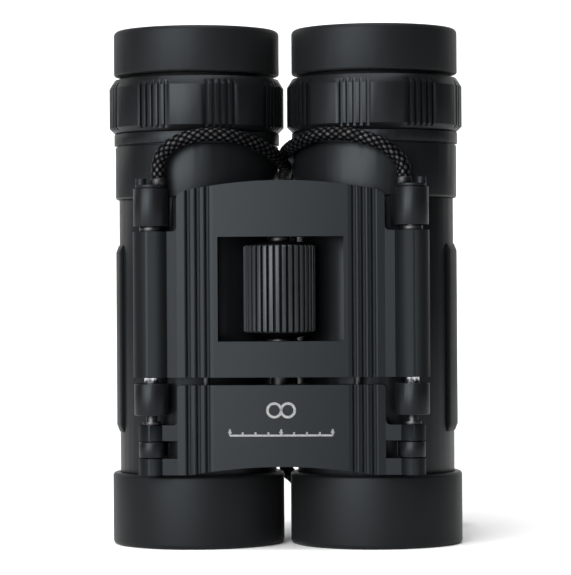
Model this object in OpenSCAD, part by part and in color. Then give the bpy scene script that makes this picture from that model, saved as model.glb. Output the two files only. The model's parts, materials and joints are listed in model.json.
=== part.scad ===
// Folding double-hinge pocket binoculars with a neck cord, standing on the objective rims.
// Origin: centre of the footprint. +Z runs up to the eyecups, the bridge faces -Y, +X is to the right.

/* [Barrels] */
// Distance between the two optical axes
barrel_spacing = 30.8; // [30.6:0.1:32]
// Outer radius of a barrel tube
tube_r = 13.5; // [13.2:0.1:13.6]
// Inner radius of a barrel tube
tube_bore_r = 12.3; // [12:0.1:12.4]
// Outer radius of the rubber ring round each objective
bezel_r = 14.8; // [14.4:0.1:15]
// Height of the rubber ring round each objective
bezel_h = 12.4; // [12:0.1:12.5]
// Radius of each objective's clear aperture
aperture_r = 10.5; // [9:0.5:10.5]

/* [Eyepieces] */
// Height from the objective rims to the eyecup rims
total_h = 88.5; // [87:0.5:90]
// Outer radius of the sleeve that slides over the barrel tube
sleeve_r = 14.1; // [14:0.1:14.2]
// Largest radius of the ribbed rings
ring_r = 15.1; // [14.9:0.1:15.2]
// Outer radius of the eyecups
eyecup_r = 14.3; // [14:0.1:14.6]
// Number of rib groups round each ribbed ring
rib_groups = 8; // [6:1:8]
// Number of grooves in each rib group
group_grooves = 5; // [3:1:6]

/* [Bridge] */
// Half the width of the bridge plates up to the hinge notches
plate_half_w = 17.45; // [17:0.05:17.6]
// Height of the top edge of the upper plate at the centre
plate_top = 62.05; // [61:0.05:63]
// Half the width of the wheel window
window_half_w = 10.55; // [10:0.05:10.6]
// Bottom of the wheel window
window_bottom = 35.1; // [35:0.05:35.2]
// Top of the wheel window
window_top = 52.65; // [52.6:0.05:53]
// Gap between the upper and the lower plate
split_gap = 1.3; // [1.2:0.1:1.4]

/* [Hinges] */
// Distance of each hinge axis from the middle
hinge_x = 21.9; // [21.8:0.1:22.2]
// Distance of the hinge axes in front of the optical axes
hinge_drop = 15.6; // [15.5:0.1:15.8]
// Radius of the long hinge knuckles
knuckle_r = 3; // [2.8:0.1:3]
// Radius of the short hinge knuckles
small_knuckle_r = 2.2; // [2:0.1:2.3]

/* [Focus wheel] */
// Outer radius of the focus wheel
wheel_r = 6.05; // [5.8:0.05:6.2]
// Distance of the wheel axis to the side of the middle
wheel_x = -0.4; // [-0.4:0.05:0]
// Distance of the wheel axis in front of the optical axes
wheel_drop = 13; // [12.9:0.1:13.1]
// Number of grooves round the focus wheel
wheel_grooves = 34; // [24:1:36]

/* [Neck cord] */
// Diameter of the braided cord
cord_d = 2.3; // [2:0.1:2.3]
// Radius of the coil at the middle of its winding
coil_mid_r = 12.65; // [12.5:0.05:13]
// Number of layers in the coil
coil_layers = 4; // [2:1:5]

/* [Hidden] */
$fn = 96;
shell_black = "#2b2c2e";
rubber_black = "#202123";
satin_black = "#333437";
bright_steel = "#c9cbce";
grey_steel = "#8d9094";
brass = "#b08d4a";
coated_glass = "#4a3a63";
clear_glass = "#9fb4bd";
cord_black = "#18181a";

// Running clearance of a shaft in its bore, on the radius
running = 0.05;
// Clearance between sliding or turning surfaces that don't guide
clearance = 0.12;
eps = 0.01;

barrel_x = barrel_spacing / 2;
// The footprint is centred: the wheel is the front and the ribbed ring is the back
barrel_y = (wheel_drop + wheel_r - ring_r) / 2;
hinge_y = barrel_y - hinge_drop;
wheel_y = barrel_y - wheel_drop;

// Levels of the barrel
tube_bottom = 3.3;
tube_top = 66;
pad_bottom = 19.4;
pad_top = 51.5;
pad_t = 0.6;

// Levels of the eyepiece group
sleeve_bottom = 59.4;
sleeve_top = 68.5;
band_top = 70.6;
ring_top = 80;
cup_bottom = 80.7;
neck_top = 79;
neck_r = 12.65;
neck_bore_r = 11.6;
cell_r = 11.5;
cell_top = 82;
cell_flange_r = 13.3;
cell_bottom = 71.3;
seat_r = 10.2;
eyepiece_lens_r = 10.15;
eye_lens_top = 82.5;
eye_lens_curve_r = 34;

// Levels of the hinge knuckles, from the top down
k1 = [54.5, 60.8];
k2 = [29.1, 53.6];
k3 = [22.8, 28.1];
k4 = [18.5, 21.1];
k5 = [15.7, 18.3];
k6 = [12.75, 15.5];
barrel_knuckle_r = knuckle_r - 0.1;

// Hinge pins
upper_pin_r = 1.2;
upper_pin_bottom = 24.9;
lower_pin_r = 0.95;
lower_pin_top = 23.8;
pin_step = 23.95;

// Bridge plates
plate_bottom = k2[0];
lower_plate_top = plate_bottom - split_gap;
plate_front = 17.6;
plate_back = 14;
plate_relief = 14.5;
relief_z = 59;
groove_x = [12.3, 13.9, 15.55];
groove_w = 0.4;
groove_depth = 0.75;
edge_r = 0.42;
bow_r = 175;
flange_back = 14.3;
block_back = 10.5;
cover_t = 0.8;
top_arc_r = 80;
bottom_arc_r = 85;
lower_plate_centre = 14.15;
notch_r = 0.8;
plate_corner_r = 1;

// Focus screw and guide rods
screw_r = 1.5;
screw_top = 48;
guide_x = 12.75;
guide_drop = 15.1;
guide_r = 0.6;
guide_top = 50.4;

// Focus wheel
wheel_bottom = 35.45;
wheel_top = 51.75;
rim_bottom = 36.6;
rim_top = 51.2;
wheel_hub_r = 2.5;
wheel_crown_r = 4.2;
journal_r = 1.3;
journal_top = 58;
nut_r = 2.2;
nut_top = 41;

// Lug and ferrule on top of each hinge
lug_bottom = 60.95;
lug_base_top = 61.4;
ferrule_x = 20.6;
ferrule_r = 1.4;
ferrule_top = 62.6;
post_x = 23.5;
post_r = 0.9;

// Coil of spare cord behind the right barrel
coil_x = 14.6;
coil_drop = 34;
tie_t = 0.6;
tie_w = 3;
coil_bottom = tie_t;
coil_h = coil_layers * cord_d;
tie_angles = [60, -30];

// Route of each run of the cord from its ferrule to the coil, behind the optical axes in y
left_route = [
    [-20.6, -15.6, 62.6], [-20.6, -15.6, 64.4], [-20.2, -15.6, 66.1], [-18.8, -15.7, 67.8],
    [-16.2, -15.8, 69.2], [-13, -15.5, 69.8], [-9.9, -14.8, 69.8], [-6.8, -13.2, 69.3],
    [-3.8, -10.6, 68.2], [-1.4, -7, 66.7], [-0.2, -3.4, 65.4], [0, 0.4, 64.6],
    [-0.4, 4, 63.6], [-0.9, 7.2, 61.6], [-1.15, 9.2, 58.6], [-1.18, 9.8, 54.5],
    [-1.18, 9.8, 49.5], [-1.18, 9.6, 44], [-1.18, 9.5, 38.5], [-1.18, 9.5, 33],
    [-1.18, 9.5, 27.5], [-1.18, 9.5, 22], [-1.18, 9.5, 18], [-1, 9.7, 15],
    [-0.4, 10.2, 12.8], [0.8, 11, 10.9], [2.5, 12.5, 9.4], [3.9, 14.8, 7.8],
    [4.5, 17.6, 5.9], [3.9, 20.6, 4.1], [2.6, 23.6, 2.7], [1.4, 26.5, 2],
    [0.8, 29.5, 1.75]];
right_route = [
    [20.6, -15.6, 62.6], [20.6, -15.6, 64.2], [19.6, -15.7, 66], [17.4, -15.9, 67.8],
    [14.6, -15.8, 69], [11.6, -15.4, 69.7], [8.8, -14.5, 69.9], [6.2, -13, 69.8],
    [4, -10.9, 69.2], [2, -8, 68.4], [0.7, -4.6, 67.7], [0.1, -1, 67.3],
    [0, 2.8, 67], [0.2, 6.4, 66.3], [0.8, 9.6, 64.4], [1.15, 11.6, 61],
    [1.2, 12, 56.4], [1.2, 11.4, 51], [1.2, 10.6, 45.5], [1.2, 10, 40],
    [1.2, 9.6, 34.5], [1.2, 9.5, 29], [1.2, 9.5, 23.5], [1.4, 9.9, 18.8],
    [2, 11.2, 15], [3.3, 13.4, 12.3], [5.4, 16.4, 10.4], [8.4, 18.8, 9.3],
    [11.5, 20.1, 8.8]];

// ---- helpers ----

// Cylinder between two levels
module cyl(r, z0, z1) {
    translate([0, 0, z0]) cylinder(r = r, h = z1 - z0);
}

// Tube between two levels
module ring(r_out, r_in, z0, z1) {
    difference() {
        cyl(r_out, z0, z1);
        cyl(r_in, z0 - 1, z1 + 1);
    }
}

module at_barrel(side) {
    translate([side * barrel_x, barrel_y, 0]) children();
}

module at_hinge(side) {
    translate([side * hinge_x, hinge_y, 0]) children();
}

// Turned to face from the hinge axis towards the barrel axis
module at_wheel() {
    translate([wheel_x, wheel_y, 0]) children();
}

module towards_barrel(side) {
    across = barrel_x - hinge_x;
    at_hinge(side) rotate([0, 0, atan2(hinge_drop, side * across)]) children();
}

// Points of a quarter circle that rounds an outline, from angle a0 to a1 about a centre
function corner(x, y, r, a0, a1, steps = 6) =
    [for (i = [0:steps]) let (a = a0 + (a1 - a0) * i / steps) [x + r * cos(a), y + r * sin(a)]];

// Distance from the hinge axis to the barrel axis
reach = sqrt(pow(hinge_x - barrel_x, 2) + pow(hinge_drop, 2));

// How far the bowed plate front falls back at a distance from the middle
function bow(x) = bow_r - sqrt(bow_r * bow_r - x * x);

// ---- bridge plates ----

// Outline of one groove in the plate front: rounded mouth, straight walls, flat bottom
function groove_outline(x) =
    let (y = bow(x) - plate_front, half = groove_w / 2)
    concat(
        corner(x - half - edge_r, y + edge_r, edge_r, -90, 0, 5),
        [[x - half, y + groove_depth], [x + half, y + groove_depth]],
        corner(x + half + edge_r, y + edge_r, edge_r, 180, 270, 5));

// Cross-section of a bridge plate: a slightly bowed front with three grooves on each side
module plate_section() {
    steps = 24;
    flat_half = groove_x[0] - 1;
    grooves = len(groove_x);
    translate([0, barrel_y]) polygon(concat(
        [[-plate_half_w, -plate_back], [-plate_half_w, bow(plate_half_w) - plate_front]],
        [for (i = [grooves - 1:-1:0]) each groove_outline(-groove_x[i])],
        [for (i = [0:steps]) let (x = flat_half * (2 * i / steps - 1)) [x, bow(x) - plate_front]],
        [for (x = groove_x) each groove_outline(x)],
        [[plate_half_w, bow(plate_half_w) - plate_front], [plate_half_w, -plate_back]]));
}

// Block behind a plate that narrows between the barrels
module spine_block(z0, z1) {
    wide = 5.5;
    narrow = 4.2;
    translate([0, barrel_y, z0]) linear_extrude(z1 - z0)
        polygon([[-wide, -plate_back - 1], [wide, -plate_back - 1], [narrow, -block_back], [-narrow, -block_back]]);
}

// Flat web from the plate out to a knuckle
module flange(side, span) {
    x0 = plate_half_w - 1;
    front = plate_front - bow(plate_half_w);
    translate([side > 0 ? x0 : -hinge_x, barrel_y - front, span[0]])
        cube([hinge_x - x0, front - flange_back, span[1] - span[0]]);
}

// Rounded inside corner where a flange's top meets the plate's edge
module notch_fillet(side, z) {
    translate([side * plate_half_w, barrel_y - flange_back, z]) mirror([side < 0 ? 1 : 0, 0, 0])
        rotate([90, 0, 0]) linear_extrude(plate_front - bow(plate_half_w) - flange_back) polygon(concat(
            [[-0.5, notch_r], [-0.5, -0.5], [notch_r, -0.5]],
            corner(notch_r, notch_r, notch_r, 270, 180)));
}

// What the plate's rounded outer corner at a level loses
module outer_corner(side, z, r) {
    translate([side * plate_half_w, barrel_y - plate_back + 1, z]) mirror([side < 0 ? 1 : 0, 0, 0])
        rotate([90, 0, 0]) linear_extrude(6) polygon(concat(
            [[1, -r], [1, 3], [-r, 3]],
            corner(-r, -r, r, 90, 0)));
}

module knuckle(side, r, span) {
    at_hinge(side) cyl(r, span[0], span[1]);
}

// Two pan-head screws with cross slots that hold a bridge cover, heads to the back
module cover_screws(levels) {
    head_r = 1.1;
    head_h = 0.6;
    slot = 0.3;
    back = barrel_y - block_back + cover_t;
    for (z = levels) translate([0, back, z]) rotate([-90, 0, 0]) difference() {
        union() {
            cylinder(r = head_r, h = head_h, $fn = 48);
            translate([0, 0, -cover_t]) cylinder(r = 0.6, h = cover_t + eps, $fn = 48);
        }
        for (a = [0, 90]) rotate([0, 0, a])
            translate([-head_r * 0.7, -slot / 2, head_h - 0.35]) cube([head_r * 1.4, slot, 1]);
    }
}

// Cover behind a block, with holes for its screws
module block_cover(z0, z1, levels) {
    half = 3.9;
    difference() {
        translate([-half, barrel_y - block_back, z0]) cube([2 * half, cover_t, z1 - z0]);
        for (z = levels) translate([0, barrel_y - block_back - 1, z]) rotate([-90, 0, 0])
            cylinder(r = 0.6, h = cover_t + 2, $fn = 48);
    }
}

module plate_outline(bottom, top) {
    translate([-40, barrel_y - 30, bottom]) cube([80, 30, top - bottom]);
}

lower_cover_z = [16.5, 27.2];
lower_screw_z = [18.6, 25.1];
upper_cover_z = [53.4, 61];
upper_screw_z = [55.2, 59.2];

module objective_bridge_plate() {
    color(satin_black) difference() {
        union() {
            difference() {
                linear_extrude(lower_plate_top) plate_section();
                // hollowed lower edge
                translate([0, 0, lower_plate_centre - bottom_arc_r]) rotate([90, 0, 0])
                    translate([0, 0, -10]) cylinder(r = bottom_arc_r, h = 60, $fn = 720);
                translate([-40, -40, -1]) cube([80, 60, k6[0] + 1]);
            }
            spine_block(15.5, lower_plate_top);
            for (side = [-1, 1]) {
                for (span = [k4, k6]) {
                    flange(side, span);
                    knuckle(side, small_knuckle_r, span);
                }
                notch_fillet(side, k4[1]);
            }
        }
        at_wheel() cyl(screw_r, 16.5, 40);
        for (side = [-1, 1]) {
            translate([side * guide_x, barrel_y - guide_drop, 0]) cyl(guide_r, 20, 40);
            at_hinge(side) cyl(lower_pin_r, 10, 30);
            outer_corner(side, lower_plate_top, plate_corner_r / 2);
        }
    }
}

module objective_bridge_cover() {
    color(satin_black) block_cover(lower_cover_z[0], lower_cover_z[1], lower_screw_z);
}

module objective_cover_screws() {
    color(grey_steel) cover_screws(lower_screw_z);
}

module focus_screw() {
    tip = 0.4;
    color(bright_steel) at_wheel() union() {
        cyl(screw_r, 16.5, screw_top - tip);
        translate([0, 0, screw_top - tip]) cylinder(r1 = screw_r, r2 = screw_r - tip, h = tip);
    }
}

module guide_rods() {
    color(grey_steel) for (side = [-1, 1])
        translate([side * guide_x, barrel_y - guide_drop, 0]) cyl(guide_r, 20, guide_top);
}

module lower_pin(side) {
    collar_r = 1.5;
    collar_h = 0.6;
    color(grey_steel) at_hinge(side) union() {
        cyl(lower_pin_r, k6[0] + 0.15, lower_pin_top);
        ring(collar_r, lower_pin_r - 0.1, k4[1], k4[1] + collar_h);
    }
}

module left_lower_pin() { lower_pin(-1); }
module right_lower_pin() { lower_pin(1); }

module eyepiece_bridge_plate() {
    color(satin_black) difference() {
        union() {
            intersection() {
                linear_extrude(plate_top + 1) plate_section();
                // arched top edge
                translate([0, 0, plate_top - top_arc_r]) rotate([90, 0, 0])
                    translate([0, 0, -10]) cylinder(r = top_arc_r, h = 60, $fn = 720);
                plate_outline(plate_bottom, plate_top + 1);
            }
            spine_block(window_top, plate_top - 0.6);
            spine_block(plate_bottom, window_bottom);
            for (side = [-1, 1]) {
                flange(side, k2);
                knuckle(side, knuckle_r, k2);
                notch_fillet(side, k2[1]);
            }
        }
        // window for the wheel
        translate([-window_half_w, barrel_y - 30, window_bottom])
            cube([2 * window_half_w, 30, window_top - window_bottom]);
        // room for the sleeves behind the top edge
        translate([-30, barrel_y - plate_relief, relief_z]) cube([30 - 5.6, 4, 10]);
        translate([5.6, barrel_y - plate_relief, relief_z]) cube([30 - 5.6, 4, 10]);
        at_wheel() cyl(screw_r + 0.2, 20, 40);
        at_wheel() cyl(journal_r + running, 50, journal_top + 0.5);
        for (side = [-1, 1]) {
            translate([side * guide_x, barrel_y - guide_drop, 0]) cyl(guide_r + running, 20, 53);
            at_hinge(side) cyl(upper_pin_r, 20, 60);
            outer_corner(side, plate_top - plate_half_w * plate_half_w / top_arc_r / 2, plate_corner_r);
        }
    }
}

module eyepiece_bridge_cover() {
    color(satin_black) block_cover(upper_cover_z[0], upper_cover_z[1], upper_screw_z);
}

module eyepiece_cover_screws() {
    color(grey_steel) cover_screws(upper_screw_z);
}

module thrust_washers() {
    play = 0.08;
    color(grey_steel) at_wheel() {
        ring(wheel_hub_r - 0.1, screw_r + 0.2, window_bottom, wheel_bottom - play);
        ring(journal_r + 0.5, journal_r + running, wheel_top + play, window_top);
    }
}

module hinge_washers() {
    color(grey_steel) for (side = [-1, 1])
        at_hinge(side) ring(1.9, upper_pin_r, k2[1], k1[0] - 0.08);
}

module upper_pin(side) {
    color(bright_steel) at_hinge(side) cyl(upper_pin_r, upper_pin_bottom, lug_bottom);
}

module left_upper_pin() { upper_pin(-1); }
module right_upper_pin() { upper_pin(1); }

// Saddle on top of the hinge with the post that the cord's ferrule sits beside
module strap_lug(side) {
    base_r = 2.55;
    color(satin_black) union() {
        at_hinge(side) cyl(base_r, lug_bottom, lug_base_top);
        translate([side * post_x, hinge_y, 0]) cyl(post_r, lug_bottom, ferrule_top - 0.1);
    }
}

module left_strap_lug() { strap_lug(-1); }
module right_strap_lug() { strap_lug(1); }

module cord_ferrule(side) {
    color(grey_steel) translate([side * ferrule_x, hinge_y, 0]) {
        cyl(ferrule_r, lug_base_top, ferrule_top - 0.25);
        translate([0, 0, ferrule_top - 0.25]) cylinder(r1 = ferrule_r, r2 = ferrule_r - 0.2, h = 0.25);
    }
}

module left_cord_ferrule() { cord_ferrule(-1); }
module right_cord_ferrule() { cord_ferrule(1); }

// ---- focus wheel ----

module focus_wheel() {
    groove_depth = 0.5;
    groove_top = 0.52;
    groove_floor = 0.26;
    edge = 0.25;
    color(rubber_black) difference() {
        at_wheel() union() {
            rotate_extrude() polygon([
                [0, wheel_bottom], [wheel_hub_r, wheel_bottom], [wheel_r - edge, rim_bottom],
                [wheel_r, rim_bottom + edge], [wheel_r, rim_top - edge], [wheel_r - edge, rim_top],
                [wheel_crown_r, wheel_top], [0, wheel_top]]);
            cyl(journal_r, wheel_top - eps, journal_top);
        }
        at_wheel() {
            cyl(screw_r + 0.25, wheel_bottom - 1, wheel_top - 1.4);
            cyl(nut_r, wheel_bottom - 1, nut_top);
            for (i = [0:wheel_grooves - 1]) rotate([0, 0, i * 360 / wheel_grooves])
                translate([wheel_r - groove_depth, 0, wheel_bottom - 1])
                    linear_extrude(wheel_top - wheel_bottom + 2) polygon([
                        [0, -groove_floor / 2], [groove_depth, -groove_top / 2], [1, -groove_top / 2],
                        [1, groove_top / 2], [groove_depth, groove_top / 2], [0, groove_floor / 2]]);
        }
    }
}

module focus_nut() {
    color(brass) at_wheel() ring(nut_r, screw_r + running, wheel_bottom, nut_top);
}

// ---- objective side of a barrel ----

module barrel_tube(side) {
    web_w = 2.6;
    web_inset = 0.2;
    web_start = 1.6;
    web_end = reach - tube_r + 0.6;
    color(shell_black) difference() {
        union() {
            at_barrel(side) cyl(tube_r, tube_bottom, tube_top);
            at_hinge(side) cyl(barrel_knuckle_r, k3[0], k3[1]);
            at_hinge(side) cyl(small_knuckle_r - 0.05, k5[0], k5[1]);
            for (span = [k3, k5])
                towards_barrel(side) translate([web_start, -web_w / 2, span[0] + web_inset])
                    cube([web_end - web_start, web_w, span[1] - span[0] - 2 * web_inset]);
        }
        at_barrel(side) cyl(tube_bore_r, tube_bottom - 1, tube_top + 1);
        at_hinge(side) cyl(lower_pin_r + running, 10, pin_step + eps);
        at_hinge(side) cyl(upper_pin_r + running, pin_step, 40);
    }
}

module left_barrel_tube() { barrel_tube(-1); }
module right_barrel_tube() { barrel_tube(1); }

// Rubber pad on the outer side of a barrel, thinned at its ends
module grip_pad(side) {
    front_angle = 65;
    sweep = 75;
    taper = 1.2;
    color(rubber_black) at_barrel(side) mirror([side < 0 ? 1 : 0, 0, 0]) rotate([0, 0, front_angle - 90])
        rotate_extrude(angle = sweep) polygon([
            [tube_r, pad_bottom], [tube_r + 0.15, pad_bottom], [tube_r + pad_t, pad_bottom + taper],
            [tube_r + pad_t, pad_top - taper], [tube_r + 0.15, pad_top], [tube_r, pad_top]]);
}

module left_grip_pad() { grip_pad(-1); }
module right_grip_pad() { grip_pad(1); }

module objective_bezel(side) {
    lip_r = 11.3;
    mouth_r = 12.6;
    rim_r = 0.8;
    edge = 0.6;
    color(rubber_black) at_barrel(side) rotate_extrude() polygon(concat(
        [[lip_r, 2.7], [mouth_r, 0.3], [mouth_r + 0.3, 0], [bezel_r - rim_r, 0]],
        corner(bezel_r - rim_r, rim_r, rim_r, -90, 0),
        corner(bezel_r - edge, bezel_h - edge, edge, 0, 90),
        [[tube_r, bezel_h], [tube_r, tube_bottom], [lip_r, tube_bottom]]));
}

module left_objective_bezel() { objective_bezel(-1); }
module right_objective_bezel() { objective_bezel(1); }

// Lens blank between two levels with a bulging lower face
module lens(r, z0, z1, curve_r) {
    intersection() {
        cyl(r, z0, z1);
        translate([0, 0, z0 + curve_r]) sphere(r = curve_r, $fn = 180);
    }
}

module objective_lens(side) {
    color(coated_glass) at_barrel(side) lens(tube_bore_r - 0.1, 3.6, 7.6, 43);
}

module left_objective_lens() { objective_lens(-1); }
module right_objective_lens() { objective_lens(1); }

// Threaded ring that holds an objective, with two slots for the spanner
module objective_retainer(side) {
    color(satin_black) at_barrel(side) difference() {
        ring(tube_bore_r - 0.02, aperture_r, 3.35, 4.85);
        translate([-20, -0.5, 3]) cube([40, 1, 0.9]);
    }
}

module left_objective_retainer() { objective_retainer(-1); }
module right_objective_retainer() { objective_retainer(1); }

prism_z = [34, 56];
prism_w = 13;

// Cage that holds the prism pair, open at the sides
module prism_holder(side) {
    wall = 1.2;
    color(shell_black) at_barrel(side) difference() {
        cyl(tube_bore_r - 0.05, prism_z[0], prism_z[1]);
        cyl(6, prism_z[0] - 1, prism_z[1] + 1);
        translate([-8.4, -prism_w / 2 - 0.1, prism_z[0] + wall])
            cube([16.8, prism_w + 0.2, prism_z[1] - prism_z[0] - 2 * wall]);
    }
}

module left_prism_holder() { prism_holder(-1); }
module right_prism_holder() { prism_holder(1); }

// Lower, half-pentagon prism
module half_prism(side) {
    z0 = prism_z[0] + 1.2;
    color(clear_glass) at_barrel(side) translate([0, prism_w / 2, 0]) rotate([90, 0, 0])
        linear_extrude(prism_w) polygon([[-6.8, z0], [6.8, z0], [8, z0 + 3], [-6.8, z0 + 8.6]]);
}

module left_half_prism() { half_prism(-1); }
module right_half_prism() { half_prism(1); }

// Upper prism with its roof edge
module roof_prism(side) {
    z0 = prism_z[0] + 1.2;
    z1 = prism_z[1] - 1.2;
    color(clear_glass) at_barrel(side) translate([0, prism_w / 2, 0]) rotate([90, 0, 0])
        linear_extrude(prism_w) polygon([[-6.8, z0 + 9.6], [8, z0 + 4], [8, z1 - 6], [5, z1], [-6.8, z1]]);
}

module left_roof_prism() { roof_prism(-1); }
module right_roof_prism() { roof_prism(1); }

// ---- eyepiece side of a barrel ----

// Sleeve, band and neck in one turned piece, with the arm and knuckle on its front
module eyepiece_housing(side) {
    sleeve_bore = tube_r + clearance;
    seam = 0.3;
    band_r = sleeve_r + 0.2;
    arm_half = 10;
    arm_bore = sleeve_bore + 0.1;
    arm_r = sleeve_r - 0.15;
    web_w = 2.6;
    web_inset = 0.2;
    web_start = 1.6;
    web_end = reach - arm_r + 0.1;
    color(shell_black) difference() {
        union() {
            at_barrel(side) rotate_extrude() polygon([
                [sleeve_bore, sleeve_bottom], [sleeve_r - 0.2, sleeve_bottom], [sleeve_r, sleeve_bottom + 0.3],
                [sleeve_r, sleeve_top - 0.1], [sleeve_r - seam, sleeve_top], [sleeve_r - seam, sleeve_top + 0.15],
                [band_r, sleeve_top + 0.25], [band_r, band_top], [neck_r, band_top], [neck_r, neck_top],
                [neck_bore_r, neck_top], [neck_bore_r, sleeve_top + 0.4], [10.4, sleeve_top + 0.4],
                [10.4, sleeve_top - 0.6], [sleeve_bore, sleeve_top - 0.6]]);
            towards_barrel(side) translate([reach, 0, k1[0]]) rotate([0, 0, 180 - arm_half])
                rotate_extrude(angle = 2 * arm_half)
                    translate([arm_bore, 0]) square([arm_r - arm_bore, k1[1] - k1[0] - web_inset]);
            at_hinge(side) cyl(barrel_knuckle_r, k1[0], k1[1]);
            towards_barrel(side) translate([web_start, -web_w / 2, k1[0] + web_inset])
                cube([web_end - web_start, web_w, k1[1] - k1[0] - 2 * web_inset]);
        }
        at_hinge(side) cyl(upper_pin_r + running, 50, 65);
    }
}

module left_eyepiece_housing() { eyepiece_housing(-1); }
module right_eyepiece_housing() { eyepiece_housing(1); }

// Ring with groups of straight ribs; phase turns the first group away from the front
module ribbed_ring(side, phase) {
    bottom = band_top + 0.1;
    chamfer = 1;
    top_drop = 1.5;
    pitch = 4.5;
    groove = 0.5;
    depth = 0.5;
    color(rubber_black) at_barrel(side) difference() {
        rotate_extrude() polygon([
            [neck_r + running, bottom], [ring_r - chamfer, bottom], [ring_r, bottom + chamfer],
            [ring_r, ring_top - top_drop], [ring_r - 0.9, ring_top], [neck_r + running, ring_top]]);
        for (g = [0:rib_groups - 1]) for (i = [0:group_grooves - 1])
            rotate([0, 0, phase - 90 + g * 360 / rib_groups + (i - (group_grooves - 1) / 2) * pitch])
                translate([ring_r - depth, -groove / 2, bottom + 0.3])
                    cube([depth + 1, groove, ring_top - bottom - 0.5]);
    }
}

module left_dioptre_ring() { ribbed_ring(-1, 20.4); }
module right_trim_ring() { ribbed_ring(1, -11.7); }

// Tube that carries the eyepiece lenses, with the flange that the eyecup grips
module ocular_cell(side) {
    color(satin_black) at_barrel(side) rotate_extrude() polygon([
        [seat_r, cell_bottom], [cell_r, cell_bottom], [cell_r, cup_bottom], [cell_flange_r, cup_bottom],
        [cell_flange_r, cell_top], [seat_r, cell_top]]);
}

module left_ocular_cell() { ocular_cell(-1); }
module right_ocular_cell() { ocular_cell(1); }

module field_lens(side) {
    color(clear_glass) at_barrel(side) lens(eyepiece_lens_r, cell_bottom + 0.3, 75, 40);
}

module left_field_lens() { field_lens(-1); }
module right_field_lens() { field_lens(1); }

// Bulges towards the eye
module eye_lens(side) {
    color(coated_glass) at_barrel(side) intersection() {
        cyl(eyepiece_lens_r, 78, eye_lens_top);
        translate([0, 0, eye_lens_top - eye_lens_curve_r]) sphere(r = eye_lens_curve_r, $fn = 180);
    }
}

module left_eye_lens() { eye_lens(-1); }
module right_eye_lens() { eye_lens(1); }

// Black cone that frames an eye lens
module lens_retainer(side) {
    hole_r = 8.5;
    rim_r = 11.4;
    lens_edge = eye_lens_top - eye_lens_curve_r + sqrt(eye_lens_curve_r ^ 2 - hole_r ^ 2);
    color(satin_black) at_barrel(side) rotate_extrude() polygon([
        [hole_r, lens_edge + 0.02], [seat_r - eps, cell_top - 0.6], [seat_r - eps, cell_top + eps],
        [rim_r, cell_top + eps], [rim_r, cell_top + 0.7], [hole_r + 0.1, lens_edge + 0.5]]);
}

module left_lens_retainer() { lens_retainer(-1); }
module right_lens_retainer() { lens_retainer(1); }

module eyecup(side) {
    rim = 0.55;
    bowl_r = 11.5;
    mouth_r = 12.9;
    color(rubber_black) at_barrel(side) rotate_extrude() polygon(concat(
        [[cell_flange_r, cup_bottom], [eyecup_r - 0.25, cup_bottom], [eyecup_r, cup_bottom + 0.25]],
        corner(eyecup_r - rim - 0.25, total_h - rim - 0.25, rim + 0.25, 0, 90),
        corner(mouth_r + 0.35, total_h - 0.35, 0.35, 90, 180, 4),
        [[bowl_r, cell_top + 1], [bowl_r, cell_top + eps], [cell_flange_r, cell_top + eps]]));
}

module left_eyecup() { eyecup(-1); }
module right_eyecup() { eyecup(1); }

// ---- neck cord ----

function unit(v) = v / norm(v);

function heading(route, i) = unit(route[min(i + 1, len(route) - 1)] - route[max(i - 1, 0)]);

// One sideways direction at each point, carried along so that the tube doesn't twist
function sideways(route, i = 0, last = [1, 0, 0]) =
    i >= len(route) ? [] :
    let (ahead = heading(route, i), now = unit(last - ahead * (last * ahead)))
    concat([now], sideways(route, i + 1, now));

// Eight-sided tube along a route
module cord_run(route) {
    sides = 8;
    rings = len(route);
    across = sideways(route);
    points = [for (i = [0:rings - 1]) for (k = [0:sides - 1])
        let (a = 360 * k / sides, up = cross(heading(route, i), across[i]))
        route[i] + (across[i] * cos(a) + up * sin(a)) * cord_d / 2];
    walls = [for (i = [0:rings - 2]) for (k = [0:sides - 1])
        let (n = (k + 1) % sides)
        [i * sides + k, (i + 1) * sides + k, (i + 1) * sides + n, i * sides + n]];
    near_end = [for (k = [0:sides - 1]) k];
    far_end = [for (k = [0:sides - 1]) (rings - 1) * sides + sides - 1 - k];
    color(cord_black) translate([0, barrel_y, 0])
        polyhedron(points = points, faces = concat([near_end], walls, [far_end]), convexity = 6);
}

module left_cord() { cord_run(left_route); }
module right_cord() { cord_run(right_route); }

// Outer shape of the spare cord's coil, two turns wide
module cord_coil() {
    inner = coil_mid_r - cord_d;
    outer = coil_mid_r + cord_d;
    round_r = cord_d / 2;
    color(cord_black) translate([coil_x, barrel_y + coil_drop, 0]) rotate_extrude() polygon(concat(
        corner(inner + round_r, coil_bottom + round_r, round_r, 180, 270, 4),
        corner(outer - round_r, coil_bottom + round_r, round_r, 270, 360, 4),
        corner(outer - round_r, coil_bottom + coil_h - round_r, round_r, 0, 90, 4),
        corner(inner + round_r, coil_bottom + coil_h - round_r, round_r, 90, 180, 4)));
}

// Two straps round the coil
module cord_ties() {
    half = cord_d + tie_t;
    color(rubber_black) for (a = tie_angles)
        translate([coil_x, barrel_y + coil_drop, 0]) rotate([0, 0, a]) translate([coil_mid_r, 0, 0])
            difference() {
                translate([-half, -tie_w / 2, 0]) cube([2 * half, tie_w, coil_h + 2 * tie_t]);
                translate([-cord_d - eps, -tie_w, tie_t]) cube([2 * cord_d + 2 * eps, 2 * tie_w, coil_h]);
            }
}

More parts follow.
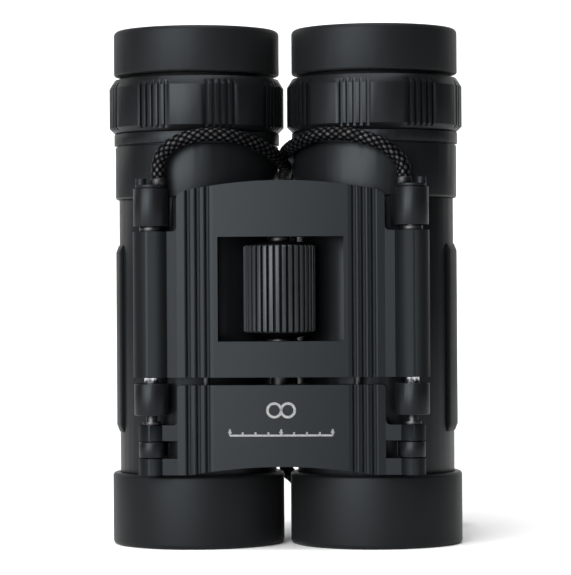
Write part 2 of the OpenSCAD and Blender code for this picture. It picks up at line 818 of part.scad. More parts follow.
objective_bridge_plate();
objective_bridge_cover();
objective_cover_screws();
focus_screw();
guide_rods();
left_lower_pin();
right_lower_pin();
eyepiece_bridge_plate();
eyepiece_bridge_cover();
eyepiece_cover_screws();
thrust_washers();
hinge_washers();
left_upper_pin();
right_upper_pin();
left_strap_lug();
right_strap_lug();
left_cord_ferrule();
right_cord_ferrule();
focus_wheel();
focus_nut();
left_barrel_tube();
right_barrel_tube();
left_grip_pad();
right_grip_pad();
left_objective_bezel();
right_objective_bezel();
left_objective_lens();
right_objective_lens();
left_objective_retainer();
right_objective_retainer();
left_prism_holder();
right_prism_holder();
left_half_prism();
right_half_prism();
left_roof_prism();
right_roof_prism();
left_eyepiece_housing();
right_eyepiece_housing();
left_dioptre_ring();
right_trim_ring();
left_ocular_cell();
right_ocular_cell();
left_field_lens();
right_field_lens();
left_eye_lens();
right_eye_lens();
left_lens_retainer();
right_lens_retainer();
left_eyecup();
right_eyecup();
left_cord();
right_cord();
cord_coil();
cord_ties();
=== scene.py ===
"""Folding pocket binoculars with a braided neck cord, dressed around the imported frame."""

import json
import math

import bpy
import numpy as np
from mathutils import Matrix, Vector


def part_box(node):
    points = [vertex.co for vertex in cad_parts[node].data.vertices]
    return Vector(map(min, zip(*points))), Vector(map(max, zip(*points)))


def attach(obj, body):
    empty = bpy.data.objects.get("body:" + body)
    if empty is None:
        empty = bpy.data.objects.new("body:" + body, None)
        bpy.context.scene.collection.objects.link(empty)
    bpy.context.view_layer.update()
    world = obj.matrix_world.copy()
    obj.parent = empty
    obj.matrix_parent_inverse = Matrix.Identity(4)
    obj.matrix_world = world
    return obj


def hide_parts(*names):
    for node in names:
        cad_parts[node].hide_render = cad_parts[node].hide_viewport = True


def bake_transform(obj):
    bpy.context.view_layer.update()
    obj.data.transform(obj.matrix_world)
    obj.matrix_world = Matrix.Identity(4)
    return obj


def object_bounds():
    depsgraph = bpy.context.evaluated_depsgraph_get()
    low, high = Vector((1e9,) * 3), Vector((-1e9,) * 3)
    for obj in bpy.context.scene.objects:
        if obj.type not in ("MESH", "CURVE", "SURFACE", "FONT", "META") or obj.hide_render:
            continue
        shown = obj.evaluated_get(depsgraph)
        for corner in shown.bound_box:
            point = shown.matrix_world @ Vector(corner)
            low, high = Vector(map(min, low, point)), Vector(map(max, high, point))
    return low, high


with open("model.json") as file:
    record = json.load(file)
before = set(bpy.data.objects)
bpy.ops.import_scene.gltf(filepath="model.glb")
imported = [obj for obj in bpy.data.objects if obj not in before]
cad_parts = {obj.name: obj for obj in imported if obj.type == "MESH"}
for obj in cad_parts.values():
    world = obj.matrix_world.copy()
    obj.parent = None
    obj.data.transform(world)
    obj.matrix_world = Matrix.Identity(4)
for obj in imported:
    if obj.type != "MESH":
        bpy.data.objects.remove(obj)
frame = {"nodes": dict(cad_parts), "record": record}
CAD_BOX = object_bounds()

MM = 0.001

# The plane of both optical axes, from an eyecup
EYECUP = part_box("right_eyecup")
BARREL_Y = (EYECUP[0][1] + EYECUP[1][1]) / 2
TOTAL_H = CAD_BOX[1][2]

# How far the plates' front stands before the optical axes, and the radius of its bow
PLATE_FRONT = 17.6 * MM
BOW_R = 175 * MM


# ---------------------------------------------------------------- camera and studio

VIEW_AZIMUTH = math.radians(3.3)
VIEW_DISTANCE = 480 * MM
VIEW_HEIGHT = 99.6 * MM
AIM = Vector((-0.15 * MM, BARREL_Y, 44.1 * MM))
ROLL = math.radians(-0.35)


def make_camera():
    """A long lens, a little to the right of the front."""
    data = bpy.data.cameras.new("camera")
    data.sensor_fit = "VERTICAL"
    data.angle_y = 2 * math.atan(VIEW_HEIGHT / 2 / VIEW_DISTANCE)
    data.clip_start = 0.01
    data.clip_end = 20
    camera = bpy.data.objects.new("camera", data)
    bpy.context.scene.collection.objects.link(camera)
    away = Vector((math.sin(VIEW_AZIMUTH), -math.cos(VIEW_AZIMUTH), 0))
    camera.location = AIM + away * VIEW_DISTANCE
    facing = (AIM - camera.location).to_track_quat("-Z", "Y").to_matrix().to_4x4()
    camera.rotation_euler = facing.to_euler()
    camera.rotation_euler.rotate_axis("Z", ROLL)
    bpy.context.scene.camera = camera


def turn_to(light, spot):
    """Faces a light to a spot."""
    light.rotation_euler = (spot - light.location).to_track_quat("-Z", "Y").to_euler()


def area_light(name, azimuth, elevation, distance, width, height, power):
    """A soft box, in degrees, metres and watts, that faces the middle of the object."""
    data = bpy.data.lights.new(name, "AREA")
    data.shape = "RECTANGLE"
    data.size = width
    data.size_y = height
    data.energy = power
    light = bpy.data.objects.new(name, data)
    bpy.context.scene.collection.objects.link(light)
    a, e = math.radians(azimuth), math.radians(elevation)
    aim = Vector((0, 0, TOTAL_H / 2))
    towards = Vector((math.sin(a) * math.cos(e), -math.cos(a) * math.cos(e), math.sin(e)))
    light.location = aim + distance * towards
    turn_to(light, aim)
    return light


def make_lights():
    """A broad key that the blacks mirror, slim lights for the rims, and one each for floor and wall."""
    backdrop_foot = Vector((0, 1.4, 0.1))
    area_light("key", azimuth=-27, elevation=14, distance=0.7, width=0.64, height=0.44, power=11)
    area_light("left_edge", azimuth=-128, elevation=20, distance=0.8, width=0.2, height=0.4, power=0.5)
    area_light("right_edge", azimuth=132, elevation=20, distance=0.8, width=0.2, height=0.4, power=0.35)
    area_light("top", azimuth=-20, elevation=78, distance=0.5, width=0.4, height=0.4, power=3.1)
    wall = area_light("wall", azimuth=180, elevation=42, distance=1.05, width=1.6, height=0.5, power=13.5)
    turn_to(wall, backdrop_foot)
    world = bpy.data.worlds.new("studio")
    world.use_nodes = True
    background = world.node_tree.nodes["Background"].inputs
    background["Color"].default_value = (1, 1, 1, 1)
    background["Strength"].default_value = 0.08
    bpy.context.scene.world = world
    bpy.context.scene.view_settings.view_transform = "Standard"


def make_stage():
    """A pale floor that curves up into a backdrop."""
    front, depth, rise, curve, half_w = -1.2, 1.6, 1.4, 0.35, 1.8
    profile = [(front, 0.0), (depth - curve, 0.0)]
    profile += [(depth - curve + curve * math.sin(t), curve - curve * math.cos(t))
                for t in np.linspace(0, math.pi / 2, 14)[1:]]
    profile.append((depth, rise))
    verts = [(side * half_w, y, z) for y, z in profile for side in (-1, 1)]
    faces = [(2 * i, 2 * i + 1, 2 * i + 3, 2 * i + 2) for i in range(len(profile) - 1)]
    mesh = bpy.data.meshes.new("floor")
    mesh.from_pydata(verts, [], faces)
    mesh.shade_smooth()
    floor = bpy.data.objects.new("floor", mesh)
    bpy.context.scene.collection.objects.link(floor)
    paper = Shader("floor_paper", (0.93, 0.93, 0.93), 0.8)
    paper.tint(paper.noise(9, 2), (0.95, 0.95, 0.95), (0.98, 0.98, 0.98))
    mesh.materials.append(paper.material)


# ---------------------------------------------------------------- materials

class Shader:
    """A Principled material with a few node helpers. Textures follow the object's own metres."""

    def __init__(self, name, colour, roughness, metallic=0.0, specular=0.5, **sockets):
        self.material = bpy.data.materials.new(name)
        self.material.use_nodes = True
        self.tree = self.material.node_tree
        self.base = self.tree.nodes["Principled BSDF"]
        self.base.inputs["Base Color"].default_value = (*colour, 1)
        self.base.inputs["Roughness"].default_value = roughness
        self.base.inputs["Metallic"].default_value = metallic
        self.base.inputs["Specular IOR Level"].default_value = specular
        for socket, value in sockets.items():
            self.base.inputs[socket.replace("_", " ")].default_value = value
        self.place = self.tree.nodes.new("ShaderNodeTexCoord").outputs["Object"]

    def node(self, kind, **settings):
        made = self.tree.nodes.new("ShaderNode" + kind)
        for key, value in settings.items():
            setattr(made, key, value)
        return made

    def link(self, source, target):
        self.tree.links.new(source, target)

    def noise(self, scale, detail=3, stretch=None, roughness=0.5, place=None):
        """Noise of about 1/scale metres; stretch squeezes it along X, Y and Z."""
        made = self.node("TexNoise")
        made.inputs["Scale"].default_value = scale
        made.inputs["Detail"].default_value = detail
        made.inputs["Roughness"].default_value = roughness
        source = place or self.place
        if stretch:
            mapping = self.node("Mapping")
            mapping.inputs["Scale"].default_value = stretch
            self.link(source, mapping.inputs["Vector"])
            source = mapping.outputs["Vector"]
        self.link(source, made.inputs["Vector"])
        return made.outputs["Fac"]

    def cells(self, scale):
        made = self.node("TexVoronoi")
        made.inputs["Scale"].default_value = scale
        self.link(self.place, made.inputs["Vector"])
        return made.outputs["Distance"]

    def span(self, value, low, high, start=0.3, end=0.7):
        """Value from start..end stretched to low..high."""
        made = self.node("MapRange")
        made.inputs["From Min"].default_value = start
        made.inputs["From Max"].default_value = end
        made.inputs["To Min"].default_value = low
        made.inputs["To Max"].default_value = high
        self.link(value, made.inputs["Value"])
        return made.outputs["Result"]

    def mix(self, factor, one, two):
        """A colour between two colours or colour outputs."""
        made = self.node("Mix", data_type="RGBA")
        self.link(factor, made.inputs["Factor"])
        for socket, colour in (("A", one), ("B", two)):
            target = next(i for i in made.inputs if i.name == socket and i.type == "RGBA")
            if isinstance(colour, tuple):
                target.default_value = (*colour, 1)
            else:
                self.link(colour, target)
        return next(o for o in made.outputs if o.type == "RGBA")

    def maths(self, operation, one, two=None):
        made = self.node("Math", operation=operation)
        for target, value in zip(made.inputs, (one, two)):
            if isinstance(value, (int, float)):
                target.default_value = value
            elif value is not None:
                self.link(value, target)
        return made.outputs[0]

    def tint(self, factor, one, two):
        colour = self.mix(factor, one, two)
        self.link(colour, self.base.inputs["Base Color"])
        return colour

    def rough(self, factor, low, high):
        self.link(self.span(factor, low, high), self.base.inputs["Roughness"])

    def bump(self, height, depth_mm, strength=1.0):
        made = self.node("Bump")
        made.inputs["Strength"].default_value = strength
        made.inputs["Distance"].default_value = depth_mm * MM
        self.link(height, made.inputs["Height"])
        previous = self.base.inputs["Normal"]
        if previous.is_linked:
            self.link(previous.links[0].from_socket, made.inputs["Normal"])
        self.link(made.outputs["Normal"], previous)


# The tint of what every black part mirrors
COOL = (0.84, 0.94, 1.0, 1)


def scaled(colour, factor, lift=0.0):
    """A colour made darker or paler, with a little grey added."""
    return tuple(c * factor + lift for c in colour)


def uneven(colour):
    """The dark and the pale end of a black part's faint unevenness."""
    return scaled(colour, 0.9), scaled(colour, 1.12)


def moulded_skin(made, colour, roughness, grain_mm):
    """Fine grain and faint unevenness of black moulded or painted plastic."""
    made.base.inputs["Specular IOR Level"].default_value = 0.15
    made.base.inputs["Specular Tint"].default_value = COOL
    blotch = made.noise(55, 3)
    made.tint(made.span(blotch, 0, 1), *uneven(colour))
    made.rough(blotch, roughness - 0.015, roughness + 0.02)
    made.bump(made.noise(1 / (grain_mm * MM), 2, roughness=0.5), 0.007, 0.35)
    return made.material


def moulded(name, colour, roughness, grain_mm):
    return moulded_skin(Shader(name, colour, roughness), colour, roughness, grain_mm)


def rubber(name, colour, roughness):
    """Matte rubber with a pebbled skin and a little dust."""
    grain_mm, depth_mm = 0.2, 0.012
    made = Shader(name, colour, roughness, specular=0.11, Sheen_Weight=0.01, Sheen_Roughness=0.6)
    made.base.inputs["Specular Tint"].default_value = COOL
    pebble_mm = 2.4 * grain_mm
    skin = made.cells(1 / (pebble_mm * MM))
    dust = made.span(made.noise(2600, 4, roughness=0.7), 0, 1, 0.66, 0.8)
    base = made.mix(made.span(made.noise(60, 3), 0, 1), *uneven(colour))
    made.tint(made.maths("MULTIPLY", dust, 0.2), base, scaled(colour, 1, lift=0.012))
    made.rough(made.noise(90, 2), roughness - 0.02, roughness + 0.03)
    made.bump(skin, depth_mm, 0.4)
    made.bump(made.noise(1 / (grain_mm * MM), 2), depth_mm, 0.3)
    return made.material


def metal(name, colour, roughness, stretch):
    """Turned or drawn metal with fine lines square to its length."""
    made = Shader(name, colour, roughness, metallic=1.0)
    lines = made.noise(500, 4, stretch=stretch, roughness=0.7)
    made.tint(made.span(lines, 0, 1), scaled(colour, 0.75), colour)
    made.rough(lines, roughness - 0.07, roughness + 0.1)
    made.bump(lines, 0.01, 0.5)
    return made.material


def coated_lens(name, colour, tint):
    """Lens glass over a dark barrel, with a coloured coating and a little dust."""
    made = Shader(name, colour, 0.03, specular=0.8, Coat_Weight=1.0, Coat_Roughness=0.02,
                  Transmission_Weight=0.55, IOR=1.6)
    made.base.inputs["Specular Tint"].default_value = (*tint, 1)
    made.base.inputs["Coat Tint"].default_value = (*tint, 1)
    made.tint(made.span(made.noise(70, 2), 0, 1), colour, scaled(colour, 0.55))
    dust = made.span(made.noise(3000, 3, roughness=0.8), 0.02, 0.14, 0.68, 0.8)
    made.link(dust, made.base.inputs["Roughness"])
    return made.material


def clear_glass(name):
    """Bare optical glass, faintly green and a little dusty."""
    made = Shader(name, (0.75, 0.82, 0.83), 0.03, specular=0.5, Transmission_Weight=0.9, IOR=1.52)
    made.tint(made.span(made.noise(60, 2), 0, 1), (0.72, 0.8, 0.82), (0.82, 0.87, 0.88))
    made.link(made.span(made.noise(2500, 3), 0.02, 0.08, 0.6, 0.8), made.base.inputs["Roughness"])
    return made.material


def braid_material():
    """Round braid of black nylon yarns, laid out by the cord's own two yarn directions, with painted shade
    in the gaps between the beads.
    """
    gap_shade = (0.0008, 0.0008, 0.001)
    nylon_dark, nylon_pale = (0.005, 0.0053, 0.0057), (0.019, 0.02, 0.0215)
    made = Shader("cord_braid", (0.012, 0.012, 0.013), 0.4)
    weave = made.node("UVMap", uv_map="yarns").outputs["UV"]
    split = made.node("SeparateXYZ")
    made.link(weave, split.inputs[0])
    cell = made.node("CombineXYZ")
    crown = None
    for socket, turn in zip(cell.inputs, split.outputs[:2]):
        made.link(made.maths("FLOOR", turn), socket)
        # 1 at the middle of a yarn's bead, 0 at its rim
        off = made.maths("ABSOLUTE", made.maths("SUBTRACT", made.maths("FRACT", turn), 0.5))
        near = made.maths("SUBTRACT", 1.0, made.maths("MULTIPLY", off, 2.0))
        crown = made.maths("MULTIPLY", crown, near) if crown else near
    chance = made.node("TexWhiteNoise", noise_dimensions="2D")
    made.link(cell.outputs[0], chance.inputs["Vector"])
    fibres = made.noise(9, 3, stretch=(3, 3, 1), place=weave, roughness=0.7)
    bead = made.span(crown, 0, 1, 0.12, 0.6)
    lit = made.maths("MULTIPLY", bead, made.span(chance.outputs["Value"], 0.45, 1, 0, 1))
    # Painted shade: the gaps and rims of the beads are painted near black, as the shade between the yarns;
    # some beads are also darker at random.
    made.tint(lit, gap_shade, made.mix(made.span(fibres, 0, 1), nylon_dark, nylon_pale))
    made.link(made.span(lit, 0.01, 0.35, 0, 1), made.base.inputs["Specular IOR Level"])
    made.rough(fibres, 0.34, 0.5)
    made.bump(fibres, 0.04, 0.6)
    return made.material


# Colour, roughness and size in millimetres of the grain of each moulded or painted black
MOULDED = {
    "shell_black": ((0.0033, 0.0036, 0.0039), 0.4, 0.3),
    "satin_black": ((0.0028, 0.0034, 0.0038), 0.45, 0.3),
    "ring_plastic": ((0.0033, 0.0035, 0.0038), 0.38, 0.3),
    "inner_black": ((0.004, 0.004, 0.004), 0.7, 0.3),
}
WHEEL_RUBBER = ((0.0145, 0.0157, 0.0164), 0.36, 0.25)
# Colour and roughness of each soft rubber
RUBBERS = {
    "pad_rubber": ((0.0033, 0.0035, 0.0037), 0.5),
    "bezel_rubber": ((0.0036, 0.0038, 0.0041), 0.45),
    "cup_rubber": ((0.0038, 0.004, 0.0043), 0.48),
    "tie_rubber": ((0.008, 0.008, 0.0085), 0.6),
}


def make_materials():
    """The material of each slot, with the turning lines of round metal running round Z."""
    around_z = (1, 1, 40)
    made = {slot: moulded(slot, *look) for slot, look in MOULDED.items()}
    made.update({slot: rubber(slot, *look) for slot, look in RUBBERS.items()})
    made.update({
        "wheel_rubber": grooved_rubber("wheel_rubber", *WHEEL_RUBBER),
        "bright_steel": metal("bright_steel", (0.6, 0.61, 0.63), 0.25, around_z),
        "screw_steel": metal("screw_steel", (0.05, 0.05, 0.053), 0.4, (6, 6, 6)),
        "ferrule_steel": metal("ferrule_steel", (0.03, 0.03, 0.032), 0.42, around_z),
        "nut_brass": metal("nut_brass", (0.66, 0.48, 0.22), 0.3, around_z),
        "coated_glass": coated_lens("coated_glass", (0.05, 0.03, 0.12), (0.62, 0.45, 1.0)),
        "clear_glass": clear_glass("clear_glass"),
        "cord_braid": braid_material(),
        "print_grey": print_material(),
    })
    return made


def grooved_rubber(name, colour, roughness, grain_mm):
    """The focus wheel's rubber, with painted shade in the grooves between its ribs."""
    groove_shade, groove_depth, rib_edge = (0.0012, 0.0012, 0.0014), 0.4 * MM, 0.08 * MM
    made = Shader(name, colour, roughness)
    moulded_skin(made, colour, roughness, grain_mm)
    low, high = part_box("focus_wheel")
    spot = made.node("SeparateXYZ")
    made.link(made.place, spot.inputs[0])
    x, y = (made.maths("SUBTRACT", spot.outputs[i], (low[i] + high[i]) / 2) for i in (0, 1))
    squares = [made.maths("MULTIPLY", offset, offset) for offset in (x, y)]
    radius = made.maths("SQRT", made.maths("ADD", *squares))
    rib_r = (high[0] - low[0]) / 2
    raised = made.span(radius, 0, 1, rib_r - groove_depth, rib_r - rib_edge)
    skin = made.base.inputs["Base Color"].links[0].from_socket
    # Painted shade: the grooves are painted near black and given less specular than the ribs.
    made.tint(raised, groove_shade, skin)
    made.link(made.span(raised, 0.03, 0.24, 0, 1), made.base.inputs["Specular IOR Level"])
    return made.material


def bowed_plastic(name, slot):
    """A bridge plate's finish, with its bowed front shaded as the smooth curve that its facets follow."""
    made = Shader(name, *MOULDED[slot][:2])
    across = made.node("SeparateXYZ")
    made.link(made.place, across.inputs[0])
    curve = made.node("CombineXYZ")
    curve.inputs["Y"].default_value = -1
    made.link(made.maths("DIVIDE", across.outputs["X"], BOW_R), curve.inputs["X"])
    to_world = made.node("VectorTransform", vector_type="NORMAL", convert_from="OBJECT", convert_to="WORLD")
    made.link(curve.outputs[0], to_world.inputs[0])
    surface = made.node("NewGeometry")
    agreement = made.node("VectorMath", operation="DOT_PRODUCT")
    made.link(surface.outputs["True Normal"], agreement.inputs[0])
    made.link(to_world.outputs[0], agreement.inputs[1])
    # Facets of the bow stand within this angle of it, and nothing else on the front does
    facet_angle = math.radians(2)
    on_bow = made.maths("GREATER_THAN", agreement.outputs["Value"], math.cos(facet_angle))
    blend = made.node("Mix", data_type="VECTOR")
    made.link(on_bow, blend.inputs["Factor"])
    ends = [socket for socket in blend.inputs if socket.type == "VECTOR" and socket.name in "AB"]
    made.link(surface.outputs["Normal"], ends[0])
    made.link(to_world.outputs[0], ends[1])
    smooth = next(socket for socket in blend.outputs if socket.type == "VECTOR")
    made.link(smooth, made.base.inputs["Normal"])
    return moulded_skin(made, *MOULDED[slot])


def worn_and_highlit_edge(slot):
    """A slot's finish on its rounded edges, paler in broken patches: partly wear polished by handling,
    partly a painted highlight where the edges catch the light.
    """
    colour, roughness = MOULDED[slot][:2]
    made = Shader(slot + "_edge", colour, roughness, specular=0.2)
    made.base.inputs["Specular Tint"].default_value = COOL
    wear_and_highlight = made.span(made.noise(420, 4, roughness=0.65), 0, 1, 0.42, 0.62)
    # Painted highlight and wear: the patches are paler and less rough than the slot's own finish.
    made.tint(wear_and_highlight, colour, scaled(colour, 1.6, lift=0.003))
    made.rough(wear_and_highlight, roughness, roughness - 0.1)
    return made.material


def print_material():
    """Pad-printed light grey ink with small thin spots."""
    thin, full = (0.1, 0.104, 0.104), (0.2, 0.205, 0.205)
    made = Shader("print_grey", (0.16, 0.165, 0.165), 0.6, specular=0.3)
    made.tint(made.span(made.noise(5200, 4, roughness=0.75), 0, 1, 0.35, 0.6), thin, full)
    made.rough(made.noise(3000, 2), 0.5, 0.7)
    return made.material


# ---------------------------------------------------------------- mesh helpers

def add_mesh(name, verts, faces, material, smooth=True):
    """A new object of its own mesh, in one of the scene's materials."""
    mesh = bpy.data.meshes.new(name)
    mesh.from_pydata([tuple(v) for v in verts], [], faces)
    mesh.update()
    if smooth:
        mesh.shade_smooth()
    mesh.materials.append(MATERIALS[material])
    piece = bpy.data.objects.new(name, mesh)
    bpy.context.scene.collection.objects.link(piece)
    return piece


def spline(points, spacing):
    """Evenly spaced points on a smooth curve through the given ones."""
    p = np.array(points, float)
    ends = np.vstack([2 * p[0] - p[1], p, 2 * p[-1] - p[-2]])
    curve = []
    for a, b, c, d in zip(ends, ends[1:], ends[2:], ends[3:]):
        for t in np.linspace(0, 1, 12, endpoint=False):
            curve.append(0.5 * (2 * b + (c - a) * t + (2 * a - 5 * b + 4 * c - d) * t ** 2
                                + (3 * b - a - 3 * c + d) * t ** 3))
    curve = np.array(curve + [p[-1]])
    along = np.concatenate([[0], np.cumsum(np.linalg.norm(np.diff(curve, axis=0), axis=1))])
    places = np.linspace(0, along[-1], int(along[-1] / spacing) + 1)
    return np.stack([np.interp(places, along, curve[:, k]) for k in range(3)], axis=1)


# ---------------------------------------------------------------- neck cord

CORD_D = 2.3 * MM

# The CAD cord's route points in millimetres, with y from the optical axes. Some lie up to 0.6 mm off,
# so that the braided strands touch each other behind the barrels
LEFT_ROUTE = [
    (-20.6, -15.6, 62.6), (-20.6, -15.6, 64.4), (-20.2, -15.6, 66.1), (-18.8, -15.7, 67.8),
    (-16.2, -15.8, 69.2), (-13, -15.5, 69.8), (-9.9, -14.8, 69.8), (-6.8, -13.2, 69.3),
    (-3.8, -10.6, 68.2), (-1.4, -7, 66.7), (-0.3, -3.4, 65.4), (-0.05, 0.4, 64.7),
    (-0.46, 4, 63.8), (-1, 7.2, 61.7), (-1.16, 9.2, 58.6), (-1.08, 9.8, 54.5),
    (-1.08, 9.8, 49.5), (-1.08, 9.6, 44), (-1.08, 9.5, 38.5), (-1.08, 9.5, 33),
    (-1.08, 9.5, 27.5), (-1.08, 9.5, 22), (-1.08, 9.5, 18), (-1.08, 9.7, 14.8),
    (-0.85, 10.2, 12.4), (0.4, 11, 10.5), (2.5, 12.5, 9.4), (3.9, 14.8, 7.8),
    (4.5, 17.6, 5.9), (3.9, 20.6, 4.1), (2.6, 23.6, 2.7), (1.4, 26.5, 2),
    (0.8, 29.5, 1.75)]
RIGHT_ROUTE = [
    (20.6, -15.6, 62.6), (20.6, -15.6, 64.2), (19.6, -15.7, 66), (17.4, -15.9, 67.8),
    (14.6, -15.8, 69), (11.6, -15.4, 69.7), (8.8, -14.5, 69.9), (6.2, -13, 69.8),
    (4, -10.9, 69.2), (2, -8, 68.4), (0.7, -4.6, 67.7), (0.1, -1, 67.3),
    (0, 2.8, 67), (0.2, 6.4, 66.3), (0.8, 9.6, 64.4), (1.15, 11.6, 61),
    (1.12, 12, 56.4), (1.1, 11.4, 51), (1.08, 10.6, 45.5), (1.08, 10, 40),
    (1.08, 9.6, 34.5), (1.08, 9.5, 29), (1.1, 9.5, 23.5), (1.4, 9.9, 18.8),
    (2, 11.2, 15), (3.3, 13.4, 12.3), (5.4, 16.4, 10.4), (8.4, 18.8, 9.3),
    (11.5, 20.1, 8.8)]

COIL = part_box("cord_coil")
COIL_X = (COIL[0][0] + COIL[1][0]) / 2
COIL_Y = (COIL[0][1] + COIL[1][1]) / 2
COIL_R = (COIL[1][0] - COIL[0][0]) / 2 - CORD_D
LAYERS = 4
COIL_TURNS = 7.75


def coil_points(per_turn=24):
    """Two turns side by side in each layer, wound out and in as the layers rise."""
    columns = [1, -1, -1, 1]
    stations = [(columns[k % len(columns)], k // 2) for k in range(2 * LAYERS)] + [(1, LAYERS - 1)]
    # The last part of each turn, in which the cord moves over to the next place
    shift = 0.22
    points = []
    for i in range(int(COIL_TURNS * per_turn) + 1):
        turn, part = divmod(i / per_turn, 1)
        here, following = stations[int(turn)], stations[min(int(turn) + 1, len(stations) - 1)]
        t = max(0, (part - 1 + shift) / shift)
        t = t * t * (3 - 2 * t)
        column = here[0] + (following[0] - here[0]) * t
        layer = here[1] + (following[1] - here[1]) * t
        angle = math.pi - i / per_turn * 2 * math.pi
        radius = COIL_R + column * CORD_D / 2
        points.append((COIL_X + radius * math.cos(angle), COIL_Y + radius * math.sin(angle),
                       COIL[0][2] + (layer + 0.5) * CORD_D))
    return points


def cord_path(spacing):
    """The whole cord from the left lug through the coil to the right lug, in equal steps."""
    def in_place(route):
        return [(x * MM, BARREL_Y + y * MM, z * MM) for x, y, z in route]
    return spline(in_place(LEFT_ROUTE) + coil_points() + in_place(RIGHT_ROUTE)[::-1], spacing)


def carried_frames(path):
    """Tangents and two sideways directions that don't twist along the path."""
    tangents = np.gradient(path, axis=0)
    tangents /= np.linalg.norm(tangents, axis=1)[:, None]
    across = np.zeros_like(path)
    last = np.array((1.0, 0, 0))
    for i, ahead in enumerate(tangents):
        last = last - ahead * last.dot(ahead)
        last /= np.linalg.norm(last)
        across[i] = last
    return tangents, across, np.cross(tangents, across)


def braided_cord():
    """One tube of the cord's length, raised into beads where its two sets of yarns cross."""
    sides, spacing = 32, 0.23 * MM
    yarns, cell_length = 6, 1.4 * MM
    relief, swell, end_dip = 0.24 * MM, 1.2, 0.75
    path = cord_path(spacing)
    rings = len(path)
    _, across, up = carried_frames(path)
    along = np.arange(rings)[:, None] * spacing / cell_length
    angle = np.linspace(0, 2 * math.pi, sides, endpoint=False)[None, :]
    round_part = angle / (2 * math.pi) * yarns
    one, two = round_part + along, round_part - along
    cell_one, cell_two = np.floor(one), np.floor(two)
    part_one, part_two = 2 * (one - cell_one) - 1, 2 * (two - cell_two) - 1
    over = (cell_one + cell_two) % 2 == 0
    width = np.where(over, part_one, part_two)
    length = np.where(over, part_two, part_one)
    height = np.sqrt(np.clip(1 - width ** 2, 0, 1)) * (1 - end_dip * np.abs(length) ** 3)
    radius = CORD_D / 2 - relief + relief * swell * height
    spots = (path[:, None, :] + across[:, None, :] * (np.cos(angle) * radius)[..., None]
             + up[:, None, :] * (np.sin(angle) * radius)[..., None]).reshape(-1, 3)
    faces, weave = [], []
    for i in range(rings - 1):
        for k in range(sides):
            n = (k + 1) % sides
            faces.append((i * sides + k, i * sides + n, (i + 1) * sides + n, (i + 1) * sides + k))
            # step runs on to the full turn, so that the last column keeps its own yarn
            for ring, step in ((i, k), (i, k + 1), (i + 1, k + 1), (i + 1, k)):
                turn, run = step / sides * yarns, ring * spacing / cell_length
                weave.append((turn + run, turn - run))
    faces.append(tuple(range(sides))[::-1])
    faces.append(tuple((rings - 1) * sides + k for k in range(sides)))
    weave += [(0.5, 0.5)] * (2 * sides)
    cord = add_mesh("neck_cord", spots, faces, "cord_braid")
    layer = cord.data.uv_layers.new(name="yarns")
    layer.data.foreach_set("uv", np.array(weave, np.float32).ravel())
    length = float(np.linalg.norm(np.diff(path, axis=0), axis=1).sum())
    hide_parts("left_cord", "right_cord", "cord_coil")
    # the coil stays where it lies while the eyepieces move up and down
    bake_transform(cord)


# ---------------------------------------------------------------- straps round the coil

def cord_strap(name, angle):
    """Soft strap with rounded corners, a ribbed face and thin edges, round one place of the coil."""
    width, thick, inner_gap = 3 * MM, 0.55 * MM, 0.02 * MM
    rib_h, rib_steps, step = 0.04 * MM, 1.5, 0.3 * MM
    edge_thinning = 0.35
    half_r, half_h = CORD_D, (COIL[1][2] - COIL[0][2]) / 2
    middle = (COIL[0][2] + COIL[1][2]) / 2
    corner = 0.9 * MM
    loop = []
    for cx, cz, start in ((1, -1, -90), (1, 1, 0), (-1, 1, 90), (-1, -1, 180)):
        for a in np.radians(np.linspace(start, start + 90, 7)):
            nx, nz = math.cos(a), math.sin(a)
            loop.append((cx * (half_r - corner) + corner * nx,
                         cz * (half_h - corner) + corner * nz, nx, nz))
    dense = []
    for (x0, z0, n0, m0), (x1, z1, n1, m1) in zip(loop, loop[1:] + loop[:1]):
        steps = max(1, int(math.hypot(x1 - x0, z1 - z0) / step))
        dense += [(x0 + (x1 - x0) * t, z0 + (z1 - z0) * t, n0 + (n1 - n0) * t, m0 + (m1 - m0) * t)
                  for t in np.arange(steps) / steps]
    across = np.linspace(-1, 1, 9)
    verts, faces = [], []
    rings = len(dense)
    for i, (x, z, nx, nz) in enumerate(dense):
        rib = rib_h * math.sin(i * math.pi / rib_steps)
        outline = [(inner_gap, t) for t in across]
        outline += [(thick * (1 - edge_thinning * abs(t) ** 6) + rib, t) for t in across[::-1]]
        for out, t in outline:
            r = COIL_R + x + nx * out
            side = t * width / 2
            c, s = math.cos(angle), math.sin(angle)
            verts.append((COIL_X + r * c - side * s, COIL_Y + r * s + side * c, middle + z + nz * out))
    per = 2 * len(across)
    for i in range(rings):
        for k in range(per):
            n, j = (k + 1) % per, (i + 1) % rings
            faces.append((i * per + k, j * per + k, j * per + n, i * per + n))
    return add_mesh(name, verts, faces, "tie_rubber")


def cord_straps():
    angles = (60, -30)
    straps = [cord_strap(f"cord_strap_{i}", math.radians(a)) for i, a in enumerate(angles)]
    for strap in straps:
        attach(strap, "objective_bridge")
    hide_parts("cord_ties")


# ---------------------------------------------------------------- printed mark

def on_plate(x, z, proud):
    """A point on the bowed front of the lower plate."""
    return (x, BARREL_Y - PLATE_FRONT + BOW_R - math.sqrt(BOW_R ** 2 - x * x) - proud, z)


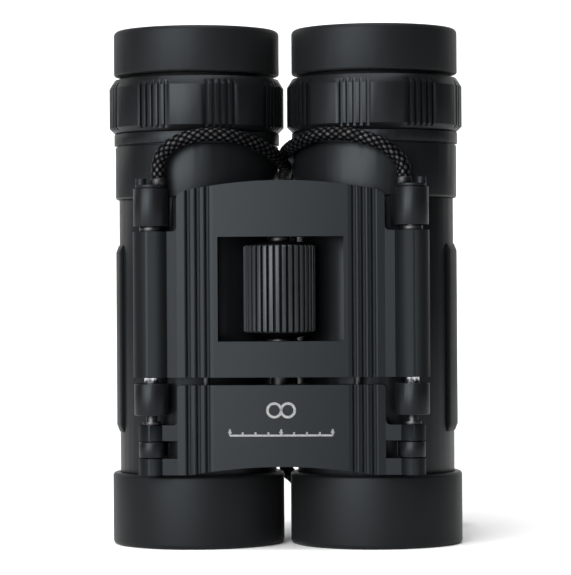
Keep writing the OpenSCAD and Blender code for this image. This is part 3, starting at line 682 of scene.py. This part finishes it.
def inked_shape(verts, faces, outline, back=0.004, front=0.03):
    """Adds a flat shape of ink, in millimetres, between an outer and an inner outline."""
    start = len(verts)
    n = len(outline[0])
    for ring in outline:
        for proud in (-back * MM, front * MM):
            verts += [on_plate(x, z, proud) for x, z in ring]

    def at(ring, face, k):
        return start + (ring * 2 + face) * n + k % n

    for k in range(n):
        faces.append((at(0, 1, k), at(0, 1, k + 1), at(1, 1, k + 1), at(1, 1, k)))
        faces.append((at(0, 0, k), at(1, 0, k), at(1, 0, k + 1), at(0, 0, k + 1)))
        faces.append((at(0, 0, k), at(0, 0, k + 1), at(0, 1, k + 1), at(0, 1, k)))
        faces.append((at(1, 0, k), at(1, 1, k), at(1, 1, k + 1), at(1, 0, k + 1)))


def circle(cx, cz, radius, n=48):
    turns = [2 * math.pi * k / n for k in range(n)]
    return [(cx + radius * math.cos(turn), cz + radius * math.sin(turn)) for turn in turns]


def bar(cx, cz, half_w, half_h):
    """A bar as an outer outline with a hair-thin slit for an inner one."""
    slit = 0.001

    def loop(w, h):
        corners = [(-w, -h), (w, -h), (w, h), (-w, h)]
        return [(cx + a[0] + (b[0] - a[0]) * t, cz + a[1] + (b[1] - a[1]) * t)
                for a, b in zip(corners, corners[1:] + corners[:1]) for t in (0, 0.25, 0.5, 0.75)]

    return [loop(half_w, half_h), loop(half_w - half_h * (1 - slit), half_h * slit)]


def printed_mark():
    """Two touching rings over a scale bar, where a maker would print the model."""
    verts, faces = [], []
    ring_r, line = 1.35 * MM, 0.42 * MM
    rings_z, bar_z = 23.6 * MM, 19.4 * MM
    bar_half, bar_line = 8.6 * MM, 0.16 * MM
    ticks, long_tick, short_tick = 4, 1.05 * MM, 0.55 * MM
    for side in (-1, 1):
        cx = side * (ring_r - line / 2)
        inked_shape(verts, faces, [circle(cx, rings_z, ring_r), circle(cx, rings_z, ring_r - line)])
    inked_shape(verts, faces, bar(0, bar_z, bar_half, bar_line))
    for k in range(-ticks, ticks + 1):
        tall = long_tick if k % ticks == 0 else short_tick
        inked_shape(verts, faces, bar(k * bar_half / ticks, bar_z + tall / 2, bar_line, tall / 2))
    mark = add_mesh("printed_mark", verts, faces, "print_grey", smooth=False)
    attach(mark, "objective_bridge")


# ---------------------------------------------------------------- dressing the CAD nodes

# Width in millimetres of the small rounding on each node's edges
EDGE_ROUNDING = {
    "barrel_tube": 0.18, "eyepiece_housing": 0.16, "bridge_plate": 0.16, "bridge_cover": 0.15,
    "dioptre_ring": 0.1, "trim_ring": 0.1, "focus_wheel": 0.09, "grip_pad": 0.15,
    "objective_bezel": 0.12, "eyecup": 0.12, "strap_lug": 0.14, "cord_ferrule": 0.12,
    "cover_screws": 0.06, "thrust_washers": 0.06, "hinge_washers": 0.08,
    "objective_retainer": 0.1, "lens_retainer": 0.08, "focus_screw": 0.08, "guide_rods": 0.08,
    "pin": 0.1}
SHARP_ANGLE = math.radians(28)
WELD_DISTANCE = 0.002 * MM


def dress_nodes():
    """Gives every CAD node its slot's material and fine rounded edges."""
    slots = {part["node"]: part["material_slot"] for part in frame["record"]["subparts"]}
    edges = {slot: worn_and_highlit_edge(slot) for slot in MOULDED}
    for name, node in frame["nodes"].items():
        slot = slots[name]
        bowed = "bridge_plate" in name
        node.data.materials.clear()
        node.data.materials.append(bowed_plastic(name + "_black", slot) if bowed else MATERIALS[slot])
        width = next((w for key, w in EDGE_ROUNDING.items() if key in name), None)
        if width is None:
            continue
        weld = node.modifiers.new("weld", "WELD")
        weld.merge_threshold = WELD_DISTANCE
        rounding = node.modifiers.new("rounding", "BEVEL")
        rounding.width = width * MM
        rounding.segments = 2
        rounding.limit_method = "ANGLE"
        rounding.angle_limit = SHARP_ANGLE
        rounding.use_clamp_overlap = True
        rounding.harden_normals = True
        # The rounded edges take the paler edge finish, partly wear and partly painted highlight.
        if slot in edges:
            node.data.materials.append(edges[slot])
            rounding.material = 1


make_camera()
MATERIALS = make_materials()
braided_cord()
cord_straps()
printed_mark()
dress_nodes()
make_lights()
make_stage()
